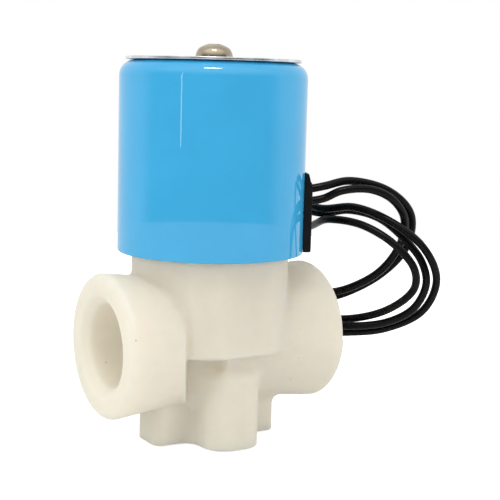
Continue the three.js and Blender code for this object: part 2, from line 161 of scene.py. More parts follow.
# Cover, with a notch for the leads, and plates
COVER_RADIUS = cover_high[0]
COVER_WALL = 0.9
COVER_SHOULDER = 3.0
NOTCH_TOP = 50.8
NOTCH_HALF_WIDTH = 4.0
NOTCH_CENTRE = 17
NOTCH_DEPTH = 10
NOTCH_OVERLAP = 1
SCREW_CLEAR = 2.3
PLATE_RADIUS = plate_high[0]
PLATE_LOWER_ROUND = 0.12
PLATE_UPPER_ROUND = 0.16
PLATE_HOLE_ROUND = 0.06
FLUX_HOLE_RADIUS = 6.5

# Pan head screw with a cross recess
HEAD_RADIUS = 3.6
HEAD_HEIGHT = 2.75
HEAD_GAP = 0.05
HEAD_CROWN = 5.2
HEAD_ROUND = 0.9
RECESS_HALF_LENGTH = 1.95
RECESS_HALF_WIDTH = 0.42
RECESS_DEPTH = 1.6
RECESS_END_SLOPE = 0.9
RECESS_SIDE_SLOPE = 0.16
RECESS_BAR_ROUND = 0.08
RECESS_RIM_ROUND = 0.06
SCREW_RADIUS = 2.0
THREAD_PITCH = 0.7
THREAD_DEPTH = 0.16
PLAIN_SHANK = 2
SHANK_OVERLAP = 0.5

# Grommet: x is measured outwards along the leads' exit
GROMMET_FACE = 19.1
PAD_HALF_WIDTH = 4.6
PAD_GAP = 0.06
PAD_SLOPE_HEIGHT = 3.0
PAD_SLOPE_DEPTH = 0.8
PAD_SLOPE_SCALE = 0.26
NECK_HALF_WIDTH = 3.7
NECK_BOTTOM = 39.2
NECK_TOP = 50.5
NECK_INSIDE = 16.3
NECK_OVERLAP = 0.5
LIP_RADIUS = 1.35
LIP_LENGTH = 0.5
LIP_TAPER = 0.5
LEAD_GAP = 0.04

# Strainer
STRAINER_EDGE = 0.12
RIM_WIDTH = 0.7
SOLID_BORDER = 1.9
HOLE_PITCH = 1.7
HOLE_HALF = 0.525
HOLE_EDGE = 0.08
HOLES_EACH_WAY = 3

# Leads and their stripped ends
LEAD_ANGLE = math.radians(-26)
LEAD_RADIUS = 0.8
LEAD_HEIGHTS = (49.0, 46.6)
LEAD_START = 17.2
STRIPPED_LENGTH = 6.0
BUNDLE_RADIUS = 0.5
STRANDS = 7
STRAND_STEPS = 24
STRAND_TURNS = 1.1
STRAND_OVERLAP = 0.3

# The side that the camera looks from, in degrees
CAMERA_AZIMUTH = -31.6


# ---- Camera -----------------------------------------------------------------------------------
def place_camera():
    azimuth = math.radians(CAMERA_AZIMUTH)
    elevation = math.radians(7.86)
    roll = math.radians(1.44)
    distance = 233.1 * MM
    aim_height = 37.0 * MM
    aim_side = 6.8 * MM
    back = Vector((math.sin(azimuth) * math.cos(elevation),
                   -math.cos(azimuth) * math.cos(elevation),
                   math.sin(elevation)))
    level = Vector((math.cos(azimuth), math.sin(azimuth), 0))
    up = back.cross(level)
    right = level * math.cos(roll) + up * math.sin(roll)
    top = up * math.cos(roll) - level * math.sin(roll)
    data = bpy.data.cameras.new("camera")
    data.lens = 86.34
    data.sensor_width = 36
    data.shift_x = 0.0097
    data.shift_y = -0.0016
    data.clip_start = 0.01
    data.clip_end = 20
    camera = bpy.data.objects.new("camera", data)
    bpy.context.scene.collection.objects.link(camera)
    place = Vector((0, 0, aim_height)) + back * distance + level * aim_side
    turn = Matrix((right, top, back)).transposed().to_4x4()
    camera.matrix_world = Matrix.Translation(place) @ turn
    bpy.context.scene.camera = camera


place_camera()

# ---- Leads: routes in millimetres -------------------------------------------------------------
LEAD_ROUTE_1 = [
    (17.4, -8.5, 49), (19.8, -9.6, 49.5), (25.1, -10.7, 50.5), (33.3, -12.7, 48.5), (39.3, -12.6, 43.5),
    (40.8, -9.6, 36.3), (37.4, -5.4, 30.1), (30.9, 0.9, 25.2), (30, 9.2, 24.4), (24.6, 18.6, 27.4),
    (14.5, 23.6, 34.4), (10.4, 23, 41), (13.4, 20.8, 46.8), (23.2, 11.6, 46.8), (25.2, -0.7, 44.1),
    (29.2, -7.2, 44.8), (33.8, -13.8, 42.2), (38.4, -18.2, 37.4), (42.6, -17.5, 30.5),
    (42.1, -13.9, 23.6), (37.2, -8.1, 19.4), (31.2, -2, 18), (30.2, 7.8, 16.4), (24.4, 19.6, 18.8),
    (12, 26.4, 27.6), (5.8, 26.5, 34.6), (8.6, 26.2, 41), (20.2, 23.4, 42.4), (27.8, 10, 39),
    (25.4, -4.1, 42.2), (28.7, -10.4, 41.6), (32.5, -15.7, 38.4), (36.3, -17.9, 33.5),
    (37.5, -16.8, 29.2), (35.6, -11.1, 24.1), (31.4, -1.2, 20.7), (29.6, 17.2, 20.6), (20.6, 27.8, 11),
    (9.4, 26.6, 1.4), (2.5, 24.2, 0.9),
]
LEAD_ROUTE_2 = [
    (17.4, -8.5, 46.6), (19.8, -9.6, 47.1), (22.5, -11.7, 48.7), (28, -13.5, 49), (33, -14.2, 47),
    (37, -13.3, 43), (38.3, -10.7, 37.2), (35.7, -6.9, 30.9), (29.6, -0.6, 26.5), (28.2, 7.6, 26.8),
    (24, 15.4, 29.4), (17, 20.6, 33.4), (12.5, 21.6, 37.2), (12.6, 20.7, 41.6), (16.8, 18, 44.4),
    (22.8, 11.6, 44.6), (26.5, 1.1, 42.9), (30.1, -4.4, 43.9), (33.6, -9.9, 42.6), (36.8, -14.2, 38.7),
    (39.4, -16.5, 34.4), (40.2, -17.2, 30), (39.1, -14.9, 24.7), (35.8, -10.1, 21.2), (29.9, -3.6, 19.8),
    (28.2, 6, 19.4), (26.4, 15.6, 21.2), (20.8, 24.4, 27), (17, 29.2, 36.4), (12.4, 29.9, 44),
    (8, 29.4, 47.8), (3.4, 28.6, 47.2), (0, 27.6, 42.4), (-0.8, 26.2, 31), (-0.8, 24.4, 16),
    (-0.2, 22.8, 6.8), (3.4, 21.2, 1.6), (9, 20.4, 0.9),
]


def catmull_rom(points, per_span=14):
    """The centripetal Catmull-Rom curve through the points, as the frame's leads follow it."""
    knots = [Vector(p) for p in points]
    knots = [2 * knots[0] - knots[1]] + knots + [2 * knots[-1] - knots[-2]]
    line = []
    for a, b, c, d in zip(knots, knots[1:], knots[2:], knots[3:]):
        ab, bc, cd = ((q - p).length ** 0.5 for p, q in ((a, b), (b, c), (c, d)))
        leave = ((b - a) / ab - (c - a) / (ab + bc) + (c - b) / bc) * bc
        enter = ((c - b) / bc - (d - b) / (bc + cd) + (d - c) / cd) * bc
        for i in range(per_span):
            t = i / per_span
            line.append(b + leave * t + (3 * (c - b) - 2 * leave - enter) * t ** 2
                        + (2 * (b - c) + leave + enter) * t ** 3)
    line.append(knots[-2])
    return line


# ---- Mesh helpers -----------------------------------------------------------------------------
def link(name, data, finish):
    """A piece made of a mesh or a curve. Its place is in its data, and it rides on the valve."""
    piece = bpy.data.objects.new(name, data)
    bpy.context.scene.collection.objects.link(piece)
    data.materials.append(finish)
    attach(piece, "valve")
    return piece


def mesh_of(name, vertices, faces):
    """A smooth-shaded mesh in metres, from vertices in millimetres."""
    mesh = bpy.data.meshes.new(name)
    mesh.from_pydata((np.asarray(vertices) * MM).tolist(), [], np.asarray(faces).tolist())
    mesh.polygons.foreach_set("use_smooth", [True] * len(mesh.polygons))
    mesh.update()
    return mesh


def surface_nets(field, low, step):
    """Vertices and quads of the zero surface of a sampled distance field, inside negative."""
    cells = np.array(field.shape) - 1
    rings, points, owners = [], [], []
    for axis in range(3):
        low_side, high_side = [slice(None)] * 3, [slice(None)] * 3
        low_side[axis], high_side[axis] = slice(0, -1), slice(1, None)
        a, b = field[tuple(low_side)], field[tuple(high_side)]
        hits = np.argwhere((a < 0) != (b < 0))
        va, vb = a[tuple(hits.T)], b[tuple(hits.T)]
        crossing = hits.astype(float)
        crossing[:, axis] += va / (va - vb)
        u, v = (axis + 1) % 3, (axis + 2) % 3
        ring = []
        for du, dv in ((0, 0), (-1, 0), (-1, -1), (0, -1)):
            cell = hits.copy()
            cell[:, u] += du
            cell[:, v] += dv
            owner = np.ravel_multi_index(cell.T, cells)
            ring.append(owner)
            owners.append(owner)
            points.append(crossing)
        ring = np.stack(ring, 1)
        ring[va > 0] = ring[va > 0][:, ::-1]
        rings.append(ring)
    owners, points, rings = np.concatenate(owners), np.concatenate(points), np.concatenate(rings)
    used, index = np.unique(owners, return_inverse=True)
    count = np.bincount(index)
    vertices = np.stack([np.bincount(index, points[:, k]) / count for k in range(3)], 1)
    return low + vertices * step, np.searchsorted(used, rings)


def sampled(field_at, low, high, step):
    """The zero surface of field_at(x, y, z) inside a box, with a margin all round."""
    low = np.asarray(low, float) - 2.5 * step
    high = np.asarray(high, float) + 2.5 * step
    axes = [np.arange(a, b + step, step, dtype=np.float32) for a, b in zip(low, high)]
    grid = np.meshgrid(*axes, indexing="ij", sparse=True)
    field = field_at(*grid)
    field = np.broadcast_to(field, [len(a) for a in axes])
    return surface_nets(field, np.array([a[0] for a in axes], float), step)


# ---- Distance fields --------------------------------------------------------------------------
def both(a, b, rounding):
    """Where a and b overlap, with their common edge rounded to a radius."""
    inside = np.minimum(np.maximum(a, b) + rounding, 0)
    return inside + np.hypot(np.maximum(a + rounding, 0), np.maximum(b + rounding, 0)) - rounding


def either(a, b, fillet):
    """a and b together, with their inner corner filled to a radius."""
    return -both(-a, -b, fillet)


def soft_either(a, b, width):
    """a and b together, blended softly over a width."""
    mix = np.clip(0.5 + 0.5 * (b - a) / width, 0, 1)
    return b + (a - b) * mix - width * mix * (1 - mix)


def without(a, tool, rounding):
    """a with the tool cut out, and the rim of the cut rounded to a radius."""
    return both(a, -tool, rounding)


def rounded_rectangle(x, y, half_x, half_y, corner):
    qx, qy = np.abs(x) - half_x + corner, np.abs(y) - half_y + corner
    return np.minimum(np.maximum(qx, qy), 0) + np.hypot(np.maximum(qx, 0), np.maximum(qy, 0)) - corner


# ---- Lathe ------------------------------------------------------------------------------------
def rounded_profile(profile_corners, steps):
    """A closed profile from (radius, z, rounding) corners, each replaced by an arc."""
    points = []
    count = len(profile_corners)
    for i, (r, z, rounding) in enumerate(profile_corners):
        here = Vector((r, z))
        before = Vector(profile_corners[i - 1][:2]) - here
        after = Vector(profile_corners[(i + 1) % count][:2]) - here
        half = before.angle(after) / 2
        reach = rounding / math.tan(half)
        centre = here + (before.normalized() + after.normalized()).normalized() * rounding / math.sin(half)
        first = here + before.normalized() * reach - centre
        last = here + after.normalized() * reach - centre
        sweep = first.angle_signed(last)
        for k in range(steps + 1):
            turn = Matrix.Rotation(-sweep * k / steps, 2)
            points.append(tuple(centre + turn @ first))
    return points


def lathe(profile, segments):
    """Vertices and faces of a closed profile of (radius, z), clear of the axis, turned about Z."""
    vertices = []
    for r, z in profile:
        for k in range(segments):
            t = 2 * math.pi * k / segments
            vertices.append((r * math.cos(t), r * math.sin(t), z))
    faces = []
    count = len(profile)
    for row in range(count):
        a, b = row * segments, (row + 1) % count * segments
        for k in range(segments):
            n = (k + 1) % segments
            faces.append((a + k, a + n, b + n, b + k))
    return vertices, faces


def closed_mesh(name, profile, segments):
    """A turned mesh with its faces pointing out and its corners crisp."""
    vertices, faces = lathe(profile, segments)
    mesh = mesh_of(name, vertices, faces)
    editing = bmesh.new()
    editing.from_mesh(mesh)
    bmesh.ops.recalc_face_normals(editing, faces=editing.faces)
    editing.to_mesh(mesh)
    editing.free()
    mesh.set_sharp_from_angle(angle=math.radians(35))
    return mesh


# ---- Materials --------------------------------------------------------------------------------
def material(name, colour, roughness, grain, grain_depth, mottle=0.04, metallic=0.0,
             roughness_spread=0.08, **sockets):
    """A surface whose colour, gloss and relief vary a little.

    grain is the size of its relief and grain_depth its height, both in millimetres. mottle is the
    share that its colour varies by. sockets are further inputs of the shader.
    """
    made = bpy.data.materials.new(name)
    made.use_nodes = True
    nodes, links = made.node_tree.nodes, made.node_tree.links
    shader = nodes["Principled BSDF"]
    place = nodes.new("ShaderNodeTexCoord")

    def noise(size):
        """Noise whose features are about a size across, in millimetres."""
        node = nodes.new("ShaderNodeTexNoise")
        node.inputs["Scale"].default_value = 1 / (size * MM)
        node.inputs["Detail"].default_value = 3.0
        links.new(place.outputs["Object"], node.inputs["Vector"])
        return node.outputs["Fac"]

    ramp = nodes.new("ShaderNodeValToRGB")
    ramp.color_ramp.elements[0].position = 0.3
    ramp.color_ramp.elements[1].position = 0.7
    ramp.color_ramp.elements[0].color = [c * (1 - mottle) for c in colour] + [1]
    ramp.color_ramp.elements[1].color = [min(1, c * (1 + mottle)) for c in colour] + [1]
    links.new(noise(max(6 * grain, 2.5)), ramp.inputs["Fac"])
    links.new(ramp.outputs["Color"], shader.inputs["Base Color"])
    gloss = nodes.new("ShaderNodeMapRange")
    gloss.inputs["To Min"].default_value = max(0.02, roughness - roughness_spread)
    gloss.inputs["To Max"].default_value = min(1, roughness + roughness_spread)
    links.new(noise(max(2 * grain, 0.8)), gloss.inputs["Value"])
    links.new(gloss.outputs["Result"], shader.inputs["Roughness"])
    bump = nodes.new("ShaderNodeBump")
    bump.inputs["Strength"].default_value = 1.0
    bump.inputs["Distance"].default_value = grain_depth * MM
    links.new(noise(grain), bump.inputs["Height"])
    links.new(bump.outputs["Normal"], shader.inputs["Normal"])
    shader.inputs["Metallic"].default_value = metallic
    for socket, value in sockets.items():
        shader.inputs[socket.replace("_", " ")].default_value = value
    return made


def let_light_through(made, colour, share):
    """Mixes in a translucent layer, so thin walls glow with the light behind them."""
    nodes, links = made.node_tree.nodes, made.node_tree.links
    shader, output = nodes["Principled BSDF"], nodes["Material Output"]
    thin = nodes.new("ShaderNodeBsdfTranslucent")
    thin.inputs["Color"].default_value = (*colour, 1)
    mix = nodes.new("ShaderNodeMixShader")
    mix.inputs["Fac"].default_value = share
    links.new(shader.outputs["BSDF"], mix.inputs[1])
    links.new(thin.outputs["BSDF"], mix.inputs[2])
    links.new(mix.outputs["Shader"], output.inputs["Surface"])


def add_specks(made, colour, spacing, size, share):
    """Small dark inclusions: a share of the cells of a Voronoi pattern, spacing mm apart, hold one,
    size mm in radius."""
    nodes, links = made.node_tree.nodes, made.node_tree.links
    shader = nodes["Principled BSDF"]
    place = next(n for n in nodes if n.type == "TEX_COORD")
    cells = nodes.new("ShaderNodeTexVoronoi")
    cells.inputs["Scale"].default_value = 1 / (spacing * MM)
    links.new(place.outputs["Object"], cells.inputs["Vector"])
    near = nodes.new("ShaderNodeMath")
    near.operation = "LESS_THAN"
    near.inputs[1].default_value = size / spacing
    links.new(cells.outputs["Distance"], near.inputs[0])
    chosen = nodes.new("ShaderNodeMath")
    chosen.operation = "LESS_THAN"
    chosen.inputs[1].default_value = share
    red = nodes.new("ShaderNodeSeparateColor")
    links.new(cells.outputs["Color"], red.inputs["Color"])
    links.new(red.outputs["Red"], chosen.inputs[0])
    speck = nodes.new("ShaderNodeMath")
    speck.operation = "MULTIPLY"
    links.new(near.outputs["Value"], speck.inputs[0])
    links.new(chosen.outputs["Value"], speck.inputs[1])
    mix = nodes.new("ShaderNodeMix")
    mix.data_type = "RGBA"
    mix.inputs["B"].default_value = (*colour, 1)
    old = shader.inputs["Base Color"].links[0].from_socket
    links.new(speck.outputs["Value"], mix.inputs["Factor"])
    links.new(old, mix.inputs["A"])
    links.new(mix.outputs["Result"], shader.inputs["Base Color"])


nylon = material("nylon", (0.86, 0.81, 0.71), roughness=0.42, grain=0.35, grain_depth=0.004,
                 mottle=0.02, Subsurface_Weight=1.0, Subsurface_Radius=(1.0, 0.85, 0.62),
                 Subsurface_Scale=0.0036, IOR=1.53)
add_specks(nylon, (0.32, 0.24, 0.14), spacing=3.2, size=0.16, share=0.12)
let_light_through(nylon, (0.97, 0.97, 0.91), share=0.38)
enamel = material("enamel", (0.044, 0.365, 0.655), roughness=0.30, grain=1.6, grain_depth=0.0016,
                  mottle=0.03, Coat_Weight=1.0, Coat_Roughness=0.03, Specular_IOR_Level=0.0)
zinc = material("zinc", (0.76, 0.77, 0.79), roughness=0.32, grain=0.28, grain_depth=0.024,
                mottle=0.22, metallic=1.0, roughness_spread=0.16)
nickel = material("nickel", (0.40, 0.34, 0.25), roughness=0.14, grain=0.7, grain_depth=0.008,
                  mottle=0.20, metallic=1.0, roughness_spread=0.05)
stainless = material("stainless", (0.66, 0.67, 0.69), roughness=0.28, grain=0.12, grain_depth=0.002,
                     mottle=0.05, metallic=1.0)
brass = material("brass", (0.72, 0.54, 0.22), roughness=0.28, grain=0.15, grain_depth=0.002,
                 mottle=0.05, metallic=1.0)
copper = material("copper", (0.72, 0.30, 0.12), roughness=0.30, grain=0.15, grain_depth=0.006,
                  mottle=0.10, metallic=1.0)
rubber = material("rubber", (0.006, 0.006, 0.007), roughness=0.50, grain=0.12, grain_depth=0.006,
                  mottle=0.20, Specular_IOR_Level=0.12)
pvc = material("pvc", (0.003, 0.003, 0.003), roughness=0.28, grain=0.5, grain_depth=0.003,
               mottle=0.20, Specular_IOR_Level=0.13)
bobbin_plastic = material("bobbin_plastic", (0.03, 0.03, 0.033), roughness=0.45, grain=0.3,
                          grain_depth=0.004, mottle=0.10)
tape_film = material("tape_film", (0.72, 0.50, 0.05), roughness=0.25, grain=0.6,
                     grain_depth=0.003, mottle=0.06)
tinned = material("tinned", (0.74, 0.75, 0.76), roughness=0.30, grain=0.15, grain_depth=0.002,
                  mottle=0.05, metallic=1.0)

# The CAD nodes that show as they are, and the spring, whose mesh a piece below copies
CAD_FINISH = {
    "tube_o_ring": rubber,
    "guide_tube": stainless,
    "retaining_nut": brass,
    "fixed_core": stainless,
    "shading_ring": copper,
    "plunger": stainless,
    "plunger_spring": stainless,
    "plunger_seal": rubber,
    "bobbin": bobbin_plastic,
    "coil_winding": copper,
    "coil_tape": tape_film,
    "wave_washer": zinc,
    "splice_sleeve_1": rubber,
    "splice_sleeve_2": rubber,
}
for node, finish in CAD_FINISH.items():
    frame["nodes"][node].data.materials.clear()
    frame["nodes"][node].data.materials.append(finish)


# ---- Valve body -------------------------------------------------------------------------------
def barrel(port_r, outward, back):
    """A port's tapered boss. outward grows towards its mouth, and the field back ends it."""
    along = np.clip((outward - PORT_INNER) / (PORT_REACH - PORT_INNER), 0, 1)
    radius = PORT_NECK_RADIUS + (PORT_RADIUS - PORT_NECK_RADIUS) * along
    return both(both(port_r - radius, outward - PORT_REACH, MOUTH_ROUND), back, BARREL_BACK_ROUND)


def wrench_hexagon(x, y, z, axis_r):
    shape = axis_r - HEX_CORNER
    for k in range(3):
        turn = HEX_TURN + k * math.pi / 3
        flat = np.abs(x * math.cos(turn) + y * math.sin(turn)) - HEX_FLAT
        shape = both(shape, flat, HEX_CORNER_ROUND)
    return both(shape, np.maximum(HEX_BOTTOM - z, z - HEX_TOP), HEX_END_ROUND)


def moulding(x, y, z, port_r, axis_r):
    """The outside: foot bar, screw bosses and core blended together, the barrels and the hexagon."""
    bar = both(rounded_rectangle(x, y, FOOT_HALF_LENGTH, FOOT_HALF_WIDTH, FOOT_CORNER),
               z - HEX_BOTTOM - FOOT_OVERLAP, FINE_EDGE)
    boss = both(rounded_rectangle(x, y, BOSS_HALF_WIDTH, BOSS_REACH, BOSS_CORNER),
                z - BOSS_TOP, BOSS_ROUND)
    core = both(both(axis_r - CORE_RADIUS, CORE_BOTTOM - z, CORE_ROUND),
                z - HEX_BOTTOM - CORE_OVERLAP, FINE_EDGE)
    outlet = barrel(port_r, x, OUTLET_BACK - x)
    inlet_back = math.cos(HEX_TURN) * x + math.sin(HEX_TURN) * np.abs(y) + INLET_TRIM
    shape = soft_either(soft_either(bar, boss, BOSS_BLEND), core, CORE_BLEND)
    under_hexagon = both(outlet, z - HEX_BOTTOM - CORE_OVERLAP, FINE_EDGE)
    shape = soft_either(shape, under_hexagon, OUTLET_BLEND)
    shape = both(shape, -z, BASE_ROUND)
    shape = either(shape, outlet, OUTLET_FILLET)
    shape = either(shape, barrel(port_r, -x, inlet_back), INLET_FILLET)
    return either(shape, wrench_hexagon(x, y, z, axis_r), HEX_FILLET)


def channel(y, z, height, inner_end, outer_end):
    """A passage along X at a height, ended by two fields."""
    passage = both(np.hypot(y, z - height) - CHANNEL_RADIUS, inner_end, FINE_EDGE)
    return both(passage, outer_end, FINE_EDGE)


def body_field(x, y, z):
    port_r = np.hypot(y, z - PORT_Z)
    axis_r = np.hypot(x, y)
    reach = np.abs(x)
    shape = moulding(x, y, z, port_r, axis_r)

    socket = both(port_r - BORE_RADIUS, PORT_REACH - BORE_DEPTH - reach, EASED_EDGE)
    shape = without(shape, socket, LIGHT_EDGE)
    cone = (port_r - BORE_LEAD_IN + PORT_REACH - reach) / math.sqrt(2)
    shape = without(shape, both(cone, PORT_REACH - LEAD_IN_DEPTH - reach, KEEN_EDGE), SOFT_EDGE)

    shape = without(shape, both(axis_r - THREAD_RADIUS, SHOULDER_Z - z, EASED_EDGE), EASED_EDGE)
    chamber = both(axis_r - CHAMBER_RADIUS, SEAT_TOP - z, EASED_EDGE)
    gutter = both(axis_r - CHAMBER_RADIUS, CHAMBER_FLOOR - z, EASED_EDGE)
    gutter = both(gutter, SEAT_RADIUS - axis_r, EASED_EDGE)
    shape = without(shape, np.minimum(chamber, gutter), EASED_EDGE)
    shape = without(shape, both(axis_r - CHANNEL_RADIUS, OUTLET_Z - z, FINE_EDGE), EASED_EDGE)
    outlet = channel(y, z, OUTLET_Z, -CHANNEL_OVERLAP - x,
                     x - PORT_REACH + BORE_DEPTH - CHANNEL_OVERLAP)
    shape = without(shape, outlet, LIGHT_EDGE)
    inlet = channel(y, z, INLET_Z, x + INLET_INNER_END,
                    -x - PORT_REACH + BORE_DEPTH - CHANNEL_OVERLAP)
    shape = without(shape, inlet, LIGHT_EDGE)

    hole_r = np.hypot(x, np.abs(y) - SCREW_HOLE_Y)
    hole = both(hole_r - SCREW_HOLE_RADIUS, z - SCREW_HOLE_DEPTH, EASED_EDGE)
    return without(shape, hole, EASED_EDGE)


def make_body():
    step = 0.38
    vertices, faces = sampled(body_field, body_low, body_high, step)
    piece = link("moulded_body", mesh_of("moulded_body", vertices, faces), nylon)
    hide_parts("valve_body")


make_body()


# ---- Coil cover -------------------------------------------------------------------------------
def cut(mesh, tool_mesh):
    """The mesh with the tool cut away, exactly."""
    scene = bpy.context.scene.collection.objects
    base = bpy.data.objects.new("cut_base", mesh)
    tool = bpy.data.objects.new("cut_tool", tool_mesh)
    scene.link(base)
    scene.link(tool)
    modifier = base.modifiers.new("cut", "BOOLEAN")
    modifier.object = tool
    modifier.operation = "DIFFERENCE"
    modifier.solver = "EXACT"
    graph = bpy.context.evaluated_depsgraph_get()
    result = bpy.data.meshes.new_from_object(base.evaluated_get(graph))
    bpy.data.objects.remove(base)
    bpy.data.objects.remove(tool)
    return result


def notch_block(bottom):
    """A block where the leads come out, from just under the cover's bottom to the notch's top."""
    size = Matrix.Diagonal((NOTCH_DEPTH * MM, 2 * NOTCH_HALF_WIDTH * MM,
                            (NOTCH_TOP - bottom + NOTCH_OVERLAP) * MM, 1))
    place = Matrix.Translation((NOTCH_CENTRE * MM, 0, (NOTCH_TOP + bottom - NOTCH_OVERLAP) / 2 * MM))
    turn = Matrix.Rotation(LEAD_ANGLE, 4, "Z")
    block = bmesh.new()
    bmesh.ops.create_cube(block, size=1)
    bmesh.ops.transform(block, matrix=turn @ place @ size, verts=block.verts)
    mesh = bpy.data.meshes.new("notch")
    block.to_mesh(mesh)
    block.free()
    return mesh


def make_cover():
    bottom, top = cover_low[2], cover_high[2]
    inner = COVER_RADIUS - COVER_WALL
    profile = rounded_profile([
        (COVER_RADIUS, bottom, SOFT_EDGE),
        (COVER_RADIUS, top, COVER_SHOULDER),
        (SCREW_CLEAR, top, LIGHT_EDGE),
        (SCREW_CLEAR, top - COVER_WALL, FINE_EDGE),
        (inner, top - COVER_WALL, COVER_SHOULDER - COVER_WALL),
        (inner, bottom, SOFT_EDGE),
    ], steps=14)
    mesh = cut(closed_mesh("cover_shell", profile, segments=288), notch_block(bottom))
    mesh.materials.clear()
    mesh.set_sharp_from_angle(angle=math.radians(30))
    piece = link("enamelled_cover", mesh, enamel)
    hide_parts("coil_cover")


make_cover()


# ---- Plates -----------------------------------------------------------------------------------
def make_plates():
    low, high = plate_low[2], plate_high[2]
    profile = rounded_profile([(PLATE_RADIUS, low, PLATE_LOWER_ROUND),
                               (PLATE_RADIUS, high, PLATE_UPPER_ROUND),
                               (SCREW_CLEAR, high, PLATE_HOLE_ROUND),
                               (SCREW_CLEAR, low, PLATE_HOLE_ROUND)], steps=4)
    plate = link("top_disc", closed_mesh("top_disc", profile, segments=256), zinc)
    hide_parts("top_plate")
    low, high = flux_low[2], flux_high[2]
    outer = flux_high[0]
    profile = rounded_profile([(outer, low, LIGHT_EDGE), (outer, high, LIGHT_EDGE),
                               (FLUX_HOLE_RADIUS, high, FINE_EDGE),
                               (FLUX_HOLE_RADIUS, low, FINE_EDGE)], steps=3)
    flux = link("flux_disc", closed_mesh("flux_disc", profile, segments=192), zinc)
    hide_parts("flux_plate")


make_plates()


# ---- Cover screw ------------------------------------------------------------------------------
def recess_bar(along, across, depth):
    """One bar of the head's cross recess, shorter and narrower with depth under the crown."""
    return both(np.abs(along) - RECESS_HALF_LENGTH + RECESS_END_SLOPE * depth,
                np.abs(across) - RECESS_HALF_WIDTH + RECESS_SIDE_SLOPE * depth, RECESS_BAR_ROUND)


def make_screw():
    seat = plate_high[2] + HEAD_GAP
    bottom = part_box("cover_screw")[0][2] / MM

    def field(x, y, z):
        r = np.hypot(x, y)
        top = seat + HEAD_HEIGHT
        ball = np.sqrt(x * x + y * y + (z - top + HEAD_CROWN) ** 2) - HEAD_CROWN
        head = both(both(r - HEAD_RADIUS, ball, HEAD_ROUND), seat - z, LIGHT_EDGE)
        phase = z / THREAD_PITCH - np.arctan2(y, x) / (2 * math.pi)
        turns = THREAD_DEPTH * np.cos(2 * math.pi * phase)
        thread = np.where(z < seat - PLAIN_SHANK, turns, 0.0)
        shank = both(r - SCREW_RADIUS + THREAD_DEPTH + thread,
                     np.maximum(bottom - z, z - seat - SHANK_OVERLAP), SOFT_EDGE)
        shape = either(head, shank, EASED_EDGE)
        depth = top - z
        cross = np.minimum(recess_bar(x, y, depth), recess_bar(y, x, depth))
        return without(shape, both(cross, depth - RECESS_DEPTH, KEEN_EDGE), RECESS_RIM_ROUND)

    step = 0.075
    vertices, faces = sampled(field, (-HEAD_RADIUS, -HEAD_RADIUS, bottom),
                              (HEAD_RADIUS, HEAD_RADIUS, seat + HEAD_HEIGHT), step)
    piece = link("pan_head_screw", mesh_of("pan_head_screw", vertices, faces), nickel)
    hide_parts("cover_screw")


make_screw()


# ---- Grommet ----------------------------------------------------------------------------------
def make_grommet():
    """A pad outside the cover with a sloped top, a neck through the notch, a lip round each lead."""
    low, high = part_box("lead_grommet")
    bottom, top = low[2] / MM, high[2] / MM

    def field(x, y, z):
        r = np.hypot(x, y)
        out = x - GROMMET_FACE
        slope = (z - top + PAD_SLOPE_HEIGHT + out * PAD_SLOPE_HEIGHT / PAD_SLOPE_DEPTH) * PAD_SLOPE_SCALE
        pad = both(np.abs(y) - PAD_HALF_WIDTH, out, SOFT_EDGE)
        pad = both(pad, np.maximum(bottom - z, z - top), SOFT_EDGE)
        pad = both(pad, slope, LIGHT_EDGE)
        pad = both(pad, COVER_RADIUS + PAD_GAP - r, KEEN_EDGE)
        neck = both(np.abs(y) - NECK_HALF_WIDTH, np.maximum(NECK_BOTTOM - z, z - NECK_TOP), SOFT_EDGE)
        neck = both(neck, np.maximum(NECK_INSIDE - x, x - COVER_RADIUS - NECK_OVERLAP), EASED_EDGE)
        shape = either(pad, neck, FINE_EDGE)
        for height in LEAD_HEIGHTS:
            spread = np.hypot(y, z - height)
            lip = both(spread - LIP_RADIUS + LIP_TAPER * np.maximum(out, 0),
                       np.maximum(out - LIP_LENGTH, COVER_RADIUS - x), LIGHT_EDGE)
            shape = either(shape, lip, SOFT_EDGE)
        for height in LEAD_HEIGHTS:
            shape = without(shape, np.hypot(y, z - height) - LEAD_RADIUS - LEAD_GAP, FINE_EDGE)
        return shape

    step = 0.13
    vertices, faces = sampled(field, (NECK_INSIDE, -PAD_HALF_WIDTH, bottom),
                              (GROMMET_FACE + LIP_LENGTH, PAD_HALF_WIDTH, top), step)
    turn = np.array(Matrix.Rotation(LEAD_ANGLE, 3, "Z"))
    piece = link("wedge_grommet", mesh_of("wedge_grommet", vertices @ turn.T, faces), rubber)
    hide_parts("lead_grommet")


make_grommet()


# ---- Strainer and spring ----------------------------------------------------------------------
def make_strainer():
    """A disc with a thicker rim and a grid of square holes."""
    radius = strainer_high[1]
    low_x, high_x = strainer_low[0], strainer_high[0]

    def field(x, y, z):
        r = np.hypot(y, z - PORT_Z)
        faces_x = np.maximum(low_x - x, x - high_x)
        disc = both(r - radius, faces_x, STRAINER_EDGE)
        rim = both(both(r - radius, radius - RIM_WIDTH - r, FINE_EDGE), faces_x, FINE_EDGE)
        i = np.clip(np.round(y / HOLE_PITCH), -HOLES_EACH_WAY, HOLES_EACH_WAY)
        j = np.clip(np.round((z - PORT_Z) / HOLE_PITCH), -HOLES_EACH_WAY, HOLES_EACH_WAY)
        holes = both(np.abs(y - i * HOLE_PITCH) - HOLE_HALF,
                     np.abs(z - PORT_Z - j * HOLE_PITCH) - HOLE_HALF, FINE_EDGE)
        inside = np.where(np.hypot(i, j) * HOLE_PITCH > radius - SOLID_BORDER, 1.0, holes)
        return np.minimum(without(disc, inside, HOLE_EDGE), rim)

    step = 0.13
    vertices, faces = sampled(field, (low_x, -radius, PORT_Z - radius),
                              (high_x, radius, PORT_Z + radius), step)
    piece = link("strainer_screen", mesh_of("strainer_screen", vertices, faces), nylon)
    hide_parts("inlet_strainer")


